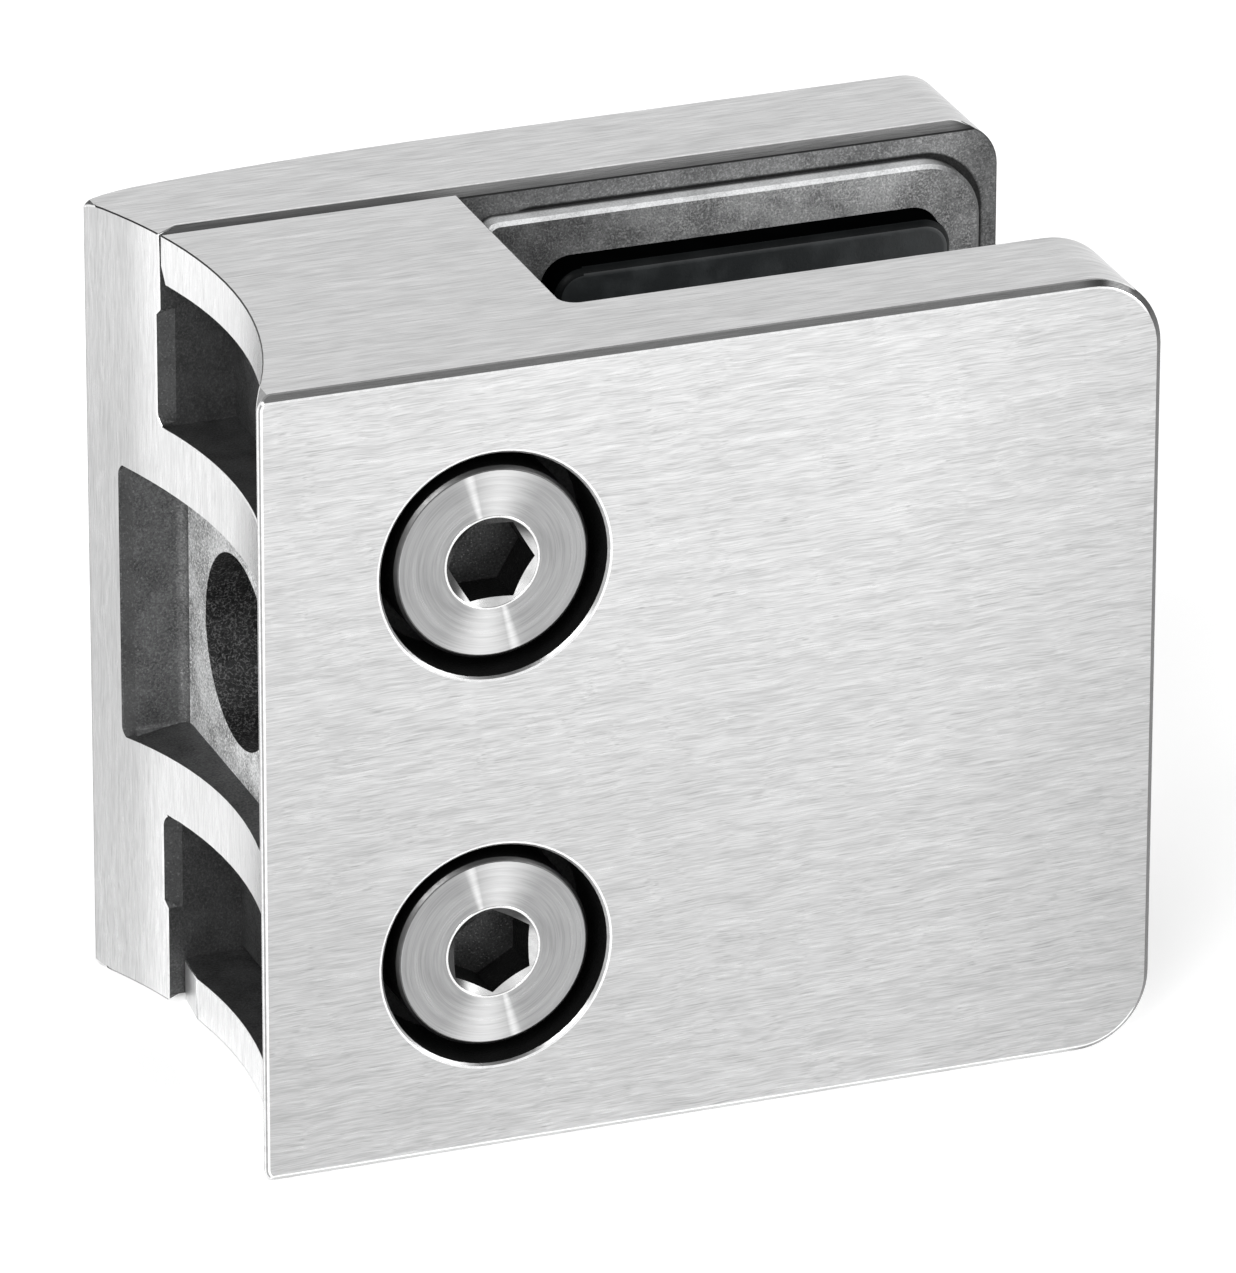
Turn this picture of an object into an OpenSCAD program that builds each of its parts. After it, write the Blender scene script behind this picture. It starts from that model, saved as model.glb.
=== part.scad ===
// Glass panel clamp for a round post.
// A rear body and a front cover hold a pane between two rubber pads.
// Two low-head screws draw the cover against the body.
// Lengths are millimetres. The clamp stands on its lower edge, the front face looks along -Y
// and the post lies on the -X side. The origin is the middle of the clamp's foot.

/* [Body] */
// Width from the post side to the free end
body_w = 60.5; // [54:0.5:80]
// Height of both castings
body_h = 53.8; // [50:0.2:70]
// Thickness of the front plate
front_t = 8; // [7:0.5:12]
// Thickness of the rear plate
rear_t = 9.8; // [8:0.2:14]
// Rounding of the front plate's free corners
front_corner_r = 5; // [2:0.5:8]
// Rounding of the rear plate's free corners
rear_corner_r = 3; // [2:0.5:8]
// Rounding of both plates' corners at the post side
post_corner_r = 1; // [0.6:0.1:2]
// Bevel round the front face
front_bevel = 0.45; // [0.2:0.05:1]
// Bevel on the front face's edge at the post side
post_bevel = 0.2; // [0.1:0.05:0.5]
// Width of the flat between that bevel and the saddle
post_land = 0.25; // [0.15:0.05:1]
// Radius of the gentle curve at the post side of the rear face
back_curve_r = 170; // [120:5:300]
// Distance from the post side at which that curve starts
back_curve_x = 26; // [18:1:30]
// Radius of the rear face next to the post
back_tip_r = 12; // [8:1:20]
// Distance from the post side at which the back tip radius starts
back_tip_x = 4.5; // [3:0.5:6]

/* [Post saddle] */
// Diameter of the round post
post_d = 76.1; // [60.3:0.1:120]

/* [Glass slot] */
// Thickness of the glass pane
glass_t = 12; // [8:0.5:16]
// Distance from the post side to the end of the slot
slot_x = 23; // [22:0.5:26]
// Fillet between the walls of the cover and the front plate
slot_fillet_r = 1.2; // [0.5:0.1:2]
// Depth of the bevel along the rear plate's inner edges
rim_bevel_y = 1.2; // [0.5:0.1:2]
// Drop of that bevel
rim_bevel_z = 0.35; // [0.2:0.05:0.8]
// Length over which that bevel runs out at the post side
rim_runout = 1.6; // [1:0.1:3]

/* [Pad seats] */
// Height of the raised seat above the plate
seat_h = 1.6; // [1:0.1:2.5]
// Distance from the seat to the plate's outer edges
seat_inset = 1.8; // [1.4:0.1:2.5]
// Rounding of the seat's free corners
seat_corner_r = 4; // [2:0.5:6]
// Rounding of the seat's corners at the slot's end
seat_end_r = 1; // [0.5:0.1:2]
// Gap between the slot's fillet and the seat
seat_end_gap = 0.3; // [0.1:0.1:1]
// Bevel along the seat's edges
seat_bevel = 0.25; // [0.1:0.05:0.5]

/* [Pads] */
// Thickness of a rubber pad
pad_t = 4; // [3.2:0.1:4.6]
// Height of the pad above its seat
pad_proud = 2.4; // [1.5:0.1:2.8]
// Distance from the pad to the plate's outer edges
pad_inset = 4.7; // [4.2:0.1:8]
// Distance from the pad to the end of the slot
pad_slot_gap = 5.3; // [3:0.1:9]
// Rounding of the pad's corners
pad_corner_r = 2; // [1:0.1:3]
// Bevel round the pad's face
pad_bevel = 0.4; // [0.1:0.05:0.8]

/* [Block] */
// Height of the block's two arms together, at the post
arm_h = 27.2; // [25:0.2:30]
// Height of the pocket in the block
pocket_h = 19.6; // [16:0.2:22]
// Distance from the post side to the pocket's floor
pocket_floor_x = 5.9; // [5:0.1:7]
// Wall between the pocket and the front plate
pocket_front_wall = 3.2; // [2:0.1:5]
// Depth by which the pocket reaches into the rear plate
pocket_into_rear = 4; // [1:0.1:4.5]
// Rounding of the pocket's corners
pocket_corner_r = 1; // [0.5:0.1:4]
// Rounding between the pocket's floor and its front and rear walls
pocket_floor_r = 0.8; // [0.2:0.1:1.5]
// Inward lean of the pocket's upper and lower wall, over its depth
pocket_draft = 0.8; // [0.1:0.1:1]
// Width of the bevel at the pocket's rear edge
pocket_bevel_x = 0.65; // [0.2:0.05:1]
// Depth of that bevel
pocket_bevel_y = 0.4; // [0.1:0.05:0.8]
// Distance from the post side at which the block takes its full height
block_step_x = 8; // [7.5:0.1:9]
// Diameter of the hole for the post bolt
bolt_hole_d = 13; // [8:0.5:14]
// Width of the bevel on the rear plate's edge beside the arms
arm_bevel_x = 1.05; // [0.5:0.05:1.5]
// Depth of that bevel
arm_bevel_y = 0.45; // [0.2:0.05:0.8]
// Height of that bevel above the upper arm
upper_bevel_h = 8.1; // [4:0.1:8.5]
// Height of that bevel below the lower arm
lower_bevel_h = 6.7; // [4:0.1:8.5]
// Rounding of that bevel's end next to the arm
arm_bevel_r = 1; // [0.5:0.1:2]

/* [Cover walls] */
// Thickness of the cover's upper wall
upper_wall_t = 3.3; // [2.5:0.1:4]
// Thickness of the cover's lower wall
lower_wall_t = 2.9; // [2.5:0.1:4]
// Depth of the bevel under the upper wall's end at the rear plate
upper_wall_bevel_y = 0.5; // [0.2:0.1:1]
// Height of that bevel
upper_wall_bevel_z = 1.2; // [0.5:0.1:2]
// Set-back of the lower wall's rear corner from the saddle
lower_wall_setback = 1; // [0.2:0.1:1.5]
// Length of that set-back along the wall
lower_wall_setback_y = 3.2; // [1:0.1:4]

/* [Screws] */
// Distance from the post side to the screws
screw_x = 15.5; // [14.5:0.1:16.5]
// Distance between the two screws
screw_spacing = 26.8; // [24:0.2:30]
// Thread diameter
screw_d = 8; // [5:0.5:8]
// Length below the head
screw_l = 20; // [12:1:21]
// Head diameter
head_d = 13; // [10:0.1:14]
// Head height
head_h = 5; // [4:0.1:5.5]
// Depth of the head's face below the front plate
head_recess = 0.55; // [0.1:0.05:1]
// Bevel round the head
head_bevel = 0.25; // [0.1:0.05:0.5]
// Width across the flats of the hexagon socket
socket_af = 5; // [4:0.5:6]
// Depth of the socket
socket_depth = 3.2; // [2:0.1:3.5]
// Diameter of the socket's countersink
socket_rim_d = 6.2; // [6.1:0.1:7.5]
// Length of a tapped hole beyond the end of its screw
tap_runout = 1.5; // [0.5:0.1:2]
// Turn of the lower screw's socket against the upper one
lower_socket_turn = 30; // [0:5:60]
// Diameter of the counterbores
counterbore_d = 15.1; // [14.5:0.1:17]
// Bevel at the mouth of a counterbore
counterbore_bevel = 0.2; // [0.1:0.05:0.4]

/* [Fits] */
// Gap between the cover and the rear plate when closed
parting_gap = 0.2; // [0.1:0.05:0.5]
// Gap between the block and the cover's walls
block_gap = 0.35; // [0.2:0.05:0.6]
// Gap round a pad in its seat
pad_gap = 0.1; // [0.05:0.05:0.3]
// Radial gap of a screw in its tapped hole
thread_gap = 0.05; // [0.02:0.01:0.1]
// Gap between a screw's head and its seat
head_gap = 0.05; // [0.02:0.01:0.1]
// Radial gap of a screw in the front plate
shank_gap = 0.5; // [0.3:0.1:1]

/* [Hidden] */
$fa = 2;
$fs = 0.35;
big_fn = 360;
over = 1;                 // how far a cutter runs past the face that it opens

steel = [0.77, 0.78, 0.79];
screw_steel = [0.68, 0.69, 0.70];
rubber = [0.05, 0.055, 0.06];

// depths, counted from the front face
front_seat_y = front_t + seat_h;
front_pad_y = front_seat_y + pad_proud;
glass_y = front_pad_y + glass_t / 2;
rear_pad_y = front_pad_y + glass_t;
rear_seat_y = rear_pad_y + pad_proud;
rim_y = rear_seat_y + seat_h;
body_d = rim_y + rear_t;
cover_d = rim_y - parting_gap;
block_y = front_t + block_gap;
pad_depth = pad_t - pad_proud;

// the saddle is the post's own surface, and it starts at x = 0 behind the cover's front edge
post_r = post_d / 2;
saddle_y = post_bevel + post_land;
saddle_depth = post_r - sqrt(pow(post_r, 2) - pow(glass_y - saddle_y, 2));
post_x = saddle_depth - post_r;
function saddle_x(y) = post_x + sqrt(pow(post_r, 2) - pow(y - glass_y, 2));

// heights, counted from the middle
top_z = body_h / 2;
block_top_z = top_z - upper_wall_t - block_gap;
block_low_z = -top_z + lower_wall_t + block_gap;
arm_z = arm_h / 2;

// pocket and post bolt
pocket_y0 = block_y + pocket_front_wall;
pocket_y1 = rim_y + pocket_into_rear;
pocket_y = (pocket_y0 + pocket_y1) / 2;

// screws
screw_z = screw_spacing / 2;
head_seat_y = head_recess + head_h + head_gap;
screw_tip_y = head_recess + head_h + screw_l;
tapped_end_y = screw_tip_y + tap_runout;
socket_r = socket_af / 2 / cos(30);
socket_rim_r = socket_rim_d / 2;
socket_cone_h = (socket_rim_r - socket_af / 2) * tan(30);
thread_point = 1;

// seats and pads along the slot
seat_x0 = slot_x + slot_fillet_r + seat_end_gap;
seat_x1 = body_w - seat_inset;
pad_x0 = slot_x + pad_slot_gap;
pad_x1 = body_w - pad_inset;
pad_z = top_z - pad_inset;
seat_z = top_z - seat_inset;

module in_place() {
    translate([-body_w / 2, -body_d / 2, top_z]) children();
}

// turns a shape drawn along +Z so that it runs along +Y
module along_y() {
    rotate([-90, 0, 0]) children();
}

// an outline drawn in Y and Z, carried along +X
module carry_x(length) {
    rotate([90, 0, 90]) linear_extrude(length) children();
}

// an outline drawn in X and Z, carried along +Y
module carry_y(length) {
    translate([0, length, 0]) rotate([90, 0, 0]) linear_extrude(length) children();
}

module rounded_rect(x0, x1, y0, y1, r) {
    translate([x0 + r, y0]) square([x1 - x0 - 2 * r, y1 - y0]);
    translate([x0, y0 + r]) square([x1 - x0, y1 - y0 - 2 * r]);
    for (x = [x0 + r, x1 - r], y = [y0 + r, y1 - r]) translate([x, y]) circle(r);
}

// what is taken off an upright corner at x = 0, z = 0 to round it, with a bevel at y = 0
module corner_waste(r, depth, bevel) {
    difference() {
        translate([-r, -over, -r]) cube([r + over, depth + 2 * over, r + over]);
        translate([-r, bevel, -r]) along_y() cylinder(r = r, h = depth + 2 * over);
        if (bevel > 0) translate([-r, 0, -r]) along_y() cylinder(r1 = r - bevel, r2 = r, h = bevel);
    }
}

// a plate from x0 to x1 and up to z on both sides, thick along +Y, bevelled round its face at y = 0,
// with radii r0 and r1 at its low-x and high-x corners and its own bevel b0 on the low-x side
module bevelled_plate(x0, x1, z, depth, r0, r1, bevel, b0) {
    difference() {
        translate([x0, 0, -z]) cube([x1 - x0, depth, 2 * z]);
        for (flip = [0, 1]) mirror([0, 0, flip]) {
            translate([x1, 0, z]) corner_waste(r1, depth, bevel);
            translate([x0, 0, z]) mirror([1, 0, 0]) corner_waste(r0, depth, b0);
            translate([x0 - over, 0, z]) carry_x(x1 - x0 + 2 * over)
                polygon([[-over, -bevel - over], [-over, over], [bevel + over, over]]);
        }
        translate([0, 0, -z - over]) linear_extrude(2 * (z + over)) {
            polygon([[x1 - bevel - over, -over], [x1 + over, -over], [x1 + over, bevel + over]]);
            polygon([[x0 + b0 + over, -over], [x0 - over, -over], [x0 - over, b0 + over]]);
        }
    }
}

// the post, as a cutter for both castings
module post_cut() {
    translate([post_x, glass_y, -top_z - over]) cylinder(r = post_r, h = body_h + 2 * over, $fn = big_fn);
}

// raised seat of a pad, rising towards -Y
module seat() {
    bevelled_plate(seat_x0, seat_x1, seat_z, seat_h + over, seat_end_r, seat_corner_r,
        seat_bevel, seat_bevel);
}

module at_screws() {
    for (side = [-1, 1]) translate([screw_x, 0, side * screw_z]) children();
}

// Rear body

// the rear plate seen from above, with its back easing forward towards the post
module rear_plan() {
    lean = asin((back_curve_x - back_tip_x) / back_curve_r);
    tip = [back_tip_x + back_tip_r * sin(lean),
        body_d - back_curve_r + (back_curve_r - back_tip_r) * cos(lean)];
    translate([back_curve_x, rim_y]) square([body_w - back_curve_x, rear_t]);
    intersection() {
        translate([back_tip_x, rim_y]) square([back_curve_x - back_tip_x, rear_t]);
        translate([back_curve_x, body_d - back_curve_r]) circle(back_curve_r, $fn = 4 * big_fn);
    }
    intersection() {
        translate([0, rim_y]) square([back_tip_x, rear_t]);
        translate(tip) circle(back_tip_r, $fn = big_fn);
    }
}

module rear_plate() {
    difference() {
        translate([0, 0, -top_z]) linear_extrude(body_h) rear_plan();
        for (flip = [0, 1]) mirror([0, 0, flip]) {
            translate([body_w, rim_y, top_z]) corner_waste(rear_corner_r, rear_t, 0);
            translate([0, rim_y, top_z]) mirror([1, 0, 0]) corner_waste(post_corner_r, rear_t, 0);
            rim_bevel();
        }
    }
}

// bevel along the upper inner edge of the rear plate, running out at the saddle
module rim_bevel() {
    start = saddle_x(rim_y);
    intersection() {
        translate([start, rim_y, top_z]) carry_x(body_w - start + over)
            polygon([[-rim_bevel_y, -2 * rim_bevel_z], [2 * rim_bevel_y, rim_bevel_z],
                [-rim_bevel_y, rim_bevel_z]]);
        translate([start, rim_y, 0]) rotate([0, 0, atan(rim_bevel_y / rim_runout)])
            translate([0, -body_w, 0]) cube([2 * body_w, body_w, body_h]);
    }
}

module block() {
    depth = rim_y - block_y + over;
    translate([0, block_y, -arm_z]) cube([block_step_x + over, depth, arm_h]);
    translate([block_step_x, block_y, block_low_z])
        cube([slot_x - block_step_x, depth, block_top_z - block_low_z]);
}

// bevel, dx wide and dy deep, on the saddle edge of a face at depth y that looks forward
module saddle_edge_bevel(y, dx, dy, height, front) {
    x = saddle_x(y) + dx;
    linear_extrude(height)
        polygon([[x, y], [x - 3 * dx, y + 3 * dy], [x - 3 * dx, y - front], [x, y - front]]);
}

// square pocket that opens towards the post; the bevel at its rear edge follows the rounded corners
module pocket_cut() {
    mouth_z = pocket_h / 2;
    floor_z = mouth_z - pocket_draft;
    intersection() {
        translate([0, 0, -mouth_z]) {
            linear_extrude(pocket_h)
                rounded_rect(-2 * over, pocket_floor_x, pocket_y0, pocket_y1, pocket_floor_r);
            saddle_edge_bevel(pocket_y1, pocket_bevel_x, pocket_bevel_y, pocket_h, pocket_corner_r);
        }
        union() {
            pocket_outline(pocket_floor_x, pocket_y1);
            pocket_outline(saddle_x(pocket_y1) + pocket_bevel_x, pocket_y1 + pocket_bevel_y);
        }
        carry_y(body_d) polygon([[-over, -mouth_z - over], [-over, mouth_z + over], [0, mouth_z],
            [pocket_floor_x, floor_z], [pocket_floor_x, -floor_z], [0, -mouth_z]]);
    }
}

// the pocket's outline as seen from the post, carried to the depth x
module pocket_outline(x, rear_y) {
    translate([-over, 0, 0]) carry_x(x + over)
        rounded_rect(pocket_y0, rear_y, -pocket_h / 2, pocket_h / 2, pocket_corner_r);
}

// bevel on the rear plate's edge beside an arm, rounded at the arm and cut off at 45 degrees at its far end
module arm_bevel(height) {
    intersection() {
        saddle_edge_bevel(rim_y, arm_bevel_x, arm_bevel_y, height, over);
        translate([-over, rim_y, 0]) carry_x(block_step_x + over) {
            translate([arm_bevel_y - arm_bevel_r, arm_bevel_r]) circle(arm_bevel_r);
            polygon([[arm_bevel_y - arm_bevel_r, 0], [arm_bevel_y, arm_bevel_r],
                [arm_bevel_y, height - arm_bevel_y], [-over, height + over], [-2 * over, 0]]);
        }
    }
}

module rear_body() {
    color(steel) in_place() difference() {
        union() {
            rear_plate();
            block();
            translate([0, rear_seat_y, 0]) seat();
        }
        post_cut();
        pocket_cut();
        translate([0, 0, arm_z]) arm_bevel(upper_bevel_h);
        mirror([0, 0, 1]) translate([0, 0, arm_z]) arm_bevel(lower_bevel_h);
        translate([0, pocket_y, 0]) rotate([0, 90, 0]) cylinder(d = bolt_hole_d, h = slot_x + over);
        at_screws() along_y() cylinder(d = screw_d, h = tapped_end_y);
        translate([0, rear_seat_y - over, 0]) pad_recess(pad_depth + over);
    }
}

// Front cover

// the cover seen from above
module cover_plan() {
    square([body_w, front_t]);
    square([slot_x, cover_d]);
    translate([slot_x, front_t]) difference() {
        square(slot_fillet_r);
        translate([slot_fillet_r, slot_fillet_r]) circle(slot_fillet_r);
    }
}

module counterbore() {
    along_y() {
        translate([0, 0, -over]) cylinder(d = counterbore_d, h = head_seat_y + over);
        translate([0, 0, -over]) cylinder(r1 = counterbore_d / 2 + counterbore_bevel + over,
            r2 = counterbore_d / 2, h = counterbore_bevel + over);
        cylinder(r = screw_d / 2 + shank_gap, h = front_t + over);
    }
}

// set-back of the lower wall's corner next to the rear plate
module lower_wall_cut() {
    y0 = cover_d - lower_wall_setback_y;
    x1 = saddle_x(cover_d) + lower_wall_setback;
    translate([0, 0, -top_z - over]) linear_extrude(lower_wall_t + 2 * over)
        polygon([[saddle_x(y0), y0], [x1, cover_d], [x1, cover_d + over],
            [-over, cover_d + over], [-over, y0]]);
}

// bevel under the upper wall's end next to the rear plate
module upper_wall_cut() {
    translate([0, cover_d, top_z - upper_wall_t]) carry_x(slot_x - slot_fillet_r)
        polygon([[-upper_wall_bevel_y, 0], [0, upper_wall_bevel_z],
            [over, upper_wall_bevel_z], [over, -over], [-upper_wall_bevel_y, -over]]);
}

module front_cover() {
    color(steel) in_place() difference() {
        union() {
            intersection() {
                bevelled_plate(0, body_w, top_z, cover_d, post_corner_r, front_corner_r,
                    front_bevel, post_bevel);
                translate([0, 0, -top_z]) linear_extrude(body_h) cover_plan();
            }
            translate([0, front_seat_y, 0]) mirror([0, 1, 0]) seat();
        }
        translate([-over, front_t, -top_z + lower_wall_t])
            cube([slot_x + slot_fillet_r + over, cover_d, body_h - upper_wall_t - lower_wall_t]);
        post_cut();
        upper_wall_cut();
        lower_wall_cut();
        at_screws() counterbore();
        translate([0, front_seat_y - pad_depth, 0]) pad_recess(pad_depth + over);
    }
}

// Screws

module screw(turn) {
    head_r = head_d / 2;
    shank_r = screw_d / 2 - thread_gap;
    color(screw_steel) translate([0, head_recess, 0]) rotate([0, turn, 0]) along_y() difference() {
        rotate_extrude() polygon([[0, 0], [head_r - head_bevel, 0], [head_r, head_bevel],
            [head_r, head_h], [shank_r, head_h], [shank_r, head_h + screw_l - thread_point],
            [shank_r - thread_point, head_h + screw_l], [0, head_h + screw_l]]);
        translate([0, 0, -over]) cylinder(r = socket_r, h = socket_depth + over, $fn = 6);
        cylinder(r1 = socket_rim_r, r2 = socket_af / 2, h = socket_cone_h);
    }
}

module upper_screw() {
    in_place() translate([screw_x, 0, screw_z]) screw(0);
}

module lower_screw() {
    in_place() translate([screw_x, 0, -screw_z]) screw(lower_socket_turn);
}

// Pads

// hollow in a seat that takes a pad
module pad_recess(depth) {
    carry_y(depth) rounded_rect(pad_x0 - pad_gap, pad_x1 + pad_gap, -pad_z - pad_gap, pad_z + pad_gap,
        pad_corner_r + pad_gap);
}

module pad() {
    color(rubber) bevelled_plate(pad_x0, pad_x1, pad_z, pad_t, pad_corner_r, pad_corner_r,
        pad_bevel, pad_bevel);
}

module rear_pad() {
    in_place() translate([0, rear_pad_y, 0]) pad();
}

module front_pad() {
    in_place() translate([0, front_pad_y, 0]) mirror([0, 1, 0]) pad();
}

rear_body();
front_cover();
upper_screw();
lower_screw();
rear_pad();
front_pad();
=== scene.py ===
"""Dressed model of a glass panel clamp: brushed castings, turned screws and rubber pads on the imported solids."""

import math

import bmesh
import bpy
import numpy as np
from mathutils import Matrix, Vector


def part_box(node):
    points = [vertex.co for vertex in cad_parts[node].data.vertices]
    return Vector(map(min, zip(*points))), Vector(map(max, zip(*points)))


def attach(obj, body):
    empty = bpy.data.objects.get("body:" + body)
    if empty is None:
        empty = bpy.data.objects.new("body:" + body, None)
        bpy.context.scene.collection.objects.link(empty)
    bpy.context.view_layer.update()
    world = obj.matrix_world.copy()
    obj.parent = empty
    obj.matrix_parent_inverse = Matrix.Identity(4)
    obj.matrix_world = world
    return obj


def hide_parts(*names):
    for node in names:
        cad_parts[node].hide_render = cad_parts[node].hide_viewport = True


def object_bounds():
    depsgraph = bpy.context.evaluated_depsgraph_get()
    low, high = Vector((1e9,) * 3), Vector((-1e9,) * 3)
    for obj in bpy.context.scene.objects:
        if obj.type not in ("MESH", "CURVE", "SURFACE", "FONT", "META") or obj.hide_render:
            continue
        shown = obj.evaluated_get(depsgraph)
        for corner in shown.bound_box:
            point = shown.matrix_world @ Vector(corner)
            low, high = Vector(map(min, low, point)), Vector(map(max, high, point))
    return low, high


bl_info = {
    "name": "Glass Panel Clamp",
    "version": (1, 0, 0),
    "blender": (4, 5, 0),
    "location": "View3D > Sidebar > Clamp",
    "description": "Finishes the castings, screws and pads of a glass panel clamp and sets its stage",
    "category": "Object",
}

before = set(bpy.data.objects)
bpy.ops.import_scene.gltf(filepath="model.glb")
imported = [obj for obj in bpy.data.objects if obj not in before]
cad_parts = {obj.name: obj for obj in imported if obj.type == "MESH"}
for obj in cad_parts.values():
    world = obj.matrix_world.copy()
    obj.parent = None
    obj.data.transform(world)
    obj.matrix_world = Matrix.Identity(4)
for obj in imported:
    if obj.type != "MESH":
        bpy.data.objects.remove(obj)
CAD_BOX = [list(corner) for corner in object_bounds()]

# Places in the frame, in metres, read off the solids
SCREW_BOX = {name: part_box(name) for name in ("upper_screw", "lower_screw")}
COVER_LOW, COVER_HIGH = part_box("front_cover")
PAD_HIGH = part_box("rear_pad")[1]
LEFT, FRONT = COVER_LOW[0], COVER_LOW[1]
RIGHT, RIM = COVER_HIGH[0], PAD_HIGH[1]
MIDDLE = (COVER_LOW[2] + COVER_HIGH[2]) / 2
TOP = COVER_HIGH[2] - MIDDLE

# Sizes of the castings that the finish follows
POST_AXIS = (-0.064011, -0.0009)
POST_RADIUS = 0.03805
SLOT_X = LEFT + 0.023
STEP_X = LEFT + 0.008
ARM_Z = 0.0136
SEAT_Y = RIM - 0.0016
POCKET_X = LEFT + 0.0059
POCKET_FRONT = FRONT + 0.0115
POCKET_REAR = RIM + 0.004
POCKET_LIP = 0.0006
POCKET_HALF = 0.0099
POCKET_EDGE_HALF = 0.0102
HOLE_RADIUS = 0.0065
HOLE_Y = (FRONT + POCKET_REAR) / 2 + 0.005775
BORE_REACH = 0.00757
RING_REACH = (0.00752, 0.0079)
RING_REAR = FRONT + 0.00021
BEVEL_REAR = FRONT + 0.00046
COVER_PLATE_REAR = FRONT + 0.0081
POST_EDGE = (LEFT + 0.0011, FRONT + 0.0021)
FACET_TOP, FACET_FRONT = -0.024, FRONT + 0.02
CORNER_LEFT, REAR_CORNER_LEFT = RIGHT - 0.0056, RIGHT - 0.0035
REAR_CORNER_RISE = TOP - 0.0032
STRIP_RIGHT, STRIP_REAR = LEFT + 0.004, RIM + 0.002
END_EDGE, LAST_EDGE = RIGHT - 0.002, RIGHT - 0.0012
# Painted shade in a line round the foot of the pad seat: middle x and z, half sizes, corner radius, width
SEAT_FOOT_SHADE = (LEFT + 0.04185, MIDDLE, 0.01735, 0.0251, 0.004, 0.0003)

# Sizes of a screw's head, from its axis and from its front, and its share of the castings' edge rounding
HEAD_SIDE = 0.0055
HEAD_DEPTH = 0.0055
HEAD_FRONT = 0.001
CONE_REACH = 0.0033
SOCKET_REACH = 0.0031
SOCKET_DEPTH = 0.0052
HEAD_EDGE_SHARE = 0.6

# How far a face's centre may lie from the plane that it is told by
CLOSE = 0.00006
JUST_OFF = 0.00005

# Angles and distances at which a copied mesh is joined, made flat and kept sharp
MERGE_DISTANCE = 1.5e-6
FLAT_ANGLE = math.radians(0.4)
SHARP_ANGLE = math.radians(12)

# Painted highlight in fans on a screw head: direction and spread in degrees, strength
FANS = ((84.0, 34.0, 0.50), (104.0, 6.0, 0.62))

# Farther than anything in the scene reaches
FAR = 10.0

# The studio: lamps' places and size, the floor's own light, and the heights between which walls turn into ceiling
KEY_PLACE = (-0.75, -0.80, 0.85)
FILL_PLACE = (0.95, -0.45, 0.55)
LAMP_SIZE = 0.8
FLOOR_GLOW = 0.36
CEILING_FROM, CEILING_TO = 0.58, 0.74


# ---------------------------------------------------------------- sizes and colours


class ClampFinish(bpy.types.PropertyGroup):
    """Colours and surface sizes of the clamp's finishes."""

    steel: bpy.props.FloatVectorProperty(
        name="Steel", description="Colour of the brushed outside of the castings", subtype="COLOR",
        min=0, max=1, default=(0.70, 0.701, 0.703),
    )
    cast: bpy.props.FloatVectorProperty(
        name="Cast skin", description="Colour of the blasted cast surfaces inside the clamp", subtype="COLOR",
        min=0, max=1, default=(0.28, 0.283, 0.285),
    )
    turned: bpy.props.FloatVectorProperty(
        name="Turned steel", description="Colour of the screw heads", subtype="COLOR",
        min=0, max=1, default=(0.345, 0.346, 0.348),
    )
    rubber: bpy.props.FloatVectorProperty(
        name="Rubber", description="Colour of the pads", subtype="COLOR",
        min=0, max=1, default=(0.012, 0.014, 0.015),
    )
    brush_length: bpy.props.FloatProperty(
        name="Brush length", description="Length of one brush mark", unit="LENGTH",
        min=0.0005, max=0.05, default=0.0021,
    )
    brush_width: bpy.props.FloatProperty(
        name="Brush width", description="Width of one brush mark", unit="LENGTH",
        min=0.00002, max=0.001, default=0.00008,
    )
    speckle: bpy.props.FloatProperty(
        name="Speckle", description="Size of the grains on the cast skin", unit="LENGTH",
        min=0.00005, max=0.002, default=0.00015,
    )
    edge: bpy.props.FloatProperty(
        name="Edge rounding", description="Width of the broken edges of the castings", unit="LENGTH",
        min=0.00002, max=0.0001, default=0.00008,
    )
    pad_edge: bpy.props.FloatProperty(
        name="Pad rounding", description="Radius of the pads' moulded edges", unit="LENGTH",
        min=0.00002, max=0.0004, default=0.0002,
    )


class ClampStage(bpy.types.PropertyGroup):
    """Where the camera stands and how the studio is lit."""

    azimuth: bpy.props.FloatProperty(
        name="Azimuth", description="Turn of the camera to the left of the clamp's front", unit="ROTATION",
        default=math.radians(20.581),
    )
    elevation: bpy.props.FloatProperty(
        name="Elevation", description="Height of the camera above the horizon", unit="ROTATION",
        default=math.radians(23.628),
    )
    roll: bpy.props.FloatProperty(
        name="Roll", description="Turn of the camera about its own line of sight", unit="ROTATION",
        default=math.radians(0.112),
    )
    distance: bpy.props.FloatProperty(
        name="Distance", description="Distance from the camera to the clamp's middle", unit="LENGTH",
        default=0.80567,
    )
    lens: bpy.props.FloatProperty(
        name="Lens", description="Focal length for a 36 mm long sensor", unit="CAMERA",
        min=50, max=1000, default=353.5,
    )
    aim: bpy.props.FloatVectorProperty(
        name="Aim", description="Shift of the aim right and up from the clamp's middle", size=2, unit="LENGTH",
        default=(0.000494, -0.001283),
    )
    floor_size: bpy.props.FloatProperty(
        name="Floor", description="Width of the floor", unit="LENGTH", default=6.0,
    )
    key: bpy.props.FloatProperty(
        name="Key lamp", description="Power of the large lamp at the front left", unit="POWER", default=11.0,
    )
    fill: bpy.props.FloatProperty(
        name="Fill lamp", description="Power of the soft lamp at the right", unit="POWER", default=6.0,
    )
    horizon: bpy.props.FloatProperty(
        name="Horizon", description="Brightness of the studio walls near the horizon", default=0.95,
    )
    zenith: bpy.props.FloatProperty(
        name="Ceiling", description="Brightness of the studio's ceiling", default=0.27,
    )


# ---------------------------------------------------------------- node helpers


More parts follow.
